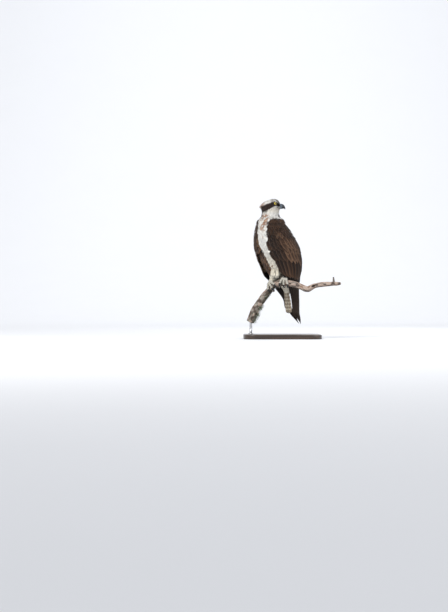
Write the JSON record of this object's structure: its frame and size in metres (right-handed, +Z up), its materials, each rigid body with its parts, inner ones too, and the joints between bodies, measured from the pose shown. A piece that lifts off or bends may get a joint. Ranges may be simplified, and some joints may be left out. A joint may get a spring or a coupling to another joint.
{
  "type": "perched osprey display model",
  "caption": "Life-size osprey with folded wings and turned head, gripping a cut bare branch held over a flat base by a short rod.",
  "frame": {"origin": "middle of the stand base's flat underside, where the model stands", "axes": "+Z up; -Y towards the side that the reference view sees; the bird's breast points between -X and -Y, its bill towards +X, and the branch runs towards +X"},
  "size_m": [0.4182, 0.2773, 0.613],
  "materials": {
    "white_plumage": "soft matt feathers, white to cream with rufous blotches on the breast and a dark stripe through the eye",
    "brown_plumage": "matt dark brown feathers with paler brown edges",
    "flight_feathers": "blackish stiff vanes with a faint sheen",
    "tail_feathers": "cream and brown barred stiff vanes",
    "horn": "polished black horn",
    "eyes": "wet yellow iris round a black pupil",
    "foot_scales": "pale grey-cream rough scales",
    "weathered_wood": "weathered grey-brown bark with bare pinkish wood, cracks and lichen",
    "steel": "satin",
    "stained_wood": "dark stain under satin varnish"
  },
  "bodies": {
    "root": {"trunk": "white_plumage", "neck": "white_plumage", "head": "white_plumage", "thigh_left": "white_plumage", "thigh_right": "white_plumage", "wing_left": "brown_plumage", "wing_right": "brown_plumage", "primaries_left": "flight_feathers", "primaries_right": "flight_feathers", "tail": "tail_feathers", "eye_left": "eyes", "eye_right": "eyes", "bill": "horn", "leg_left": "foot_scales", "talon_inner_left": "horn", "talon_middle_left": "horn", "talon_outer_left": "horn", "talon_hind_left": "horn", "leg_right": "foot_scales", "talon_inner_right": "horn", "talon_middle_right": "horn", "talon_outer_right": "horn", "talon_hind_right": "horn", "perch": "weathered_wood", "stand_rod": "steel", "stand_base": "stained_wood"}
  },
  "joints": []
}
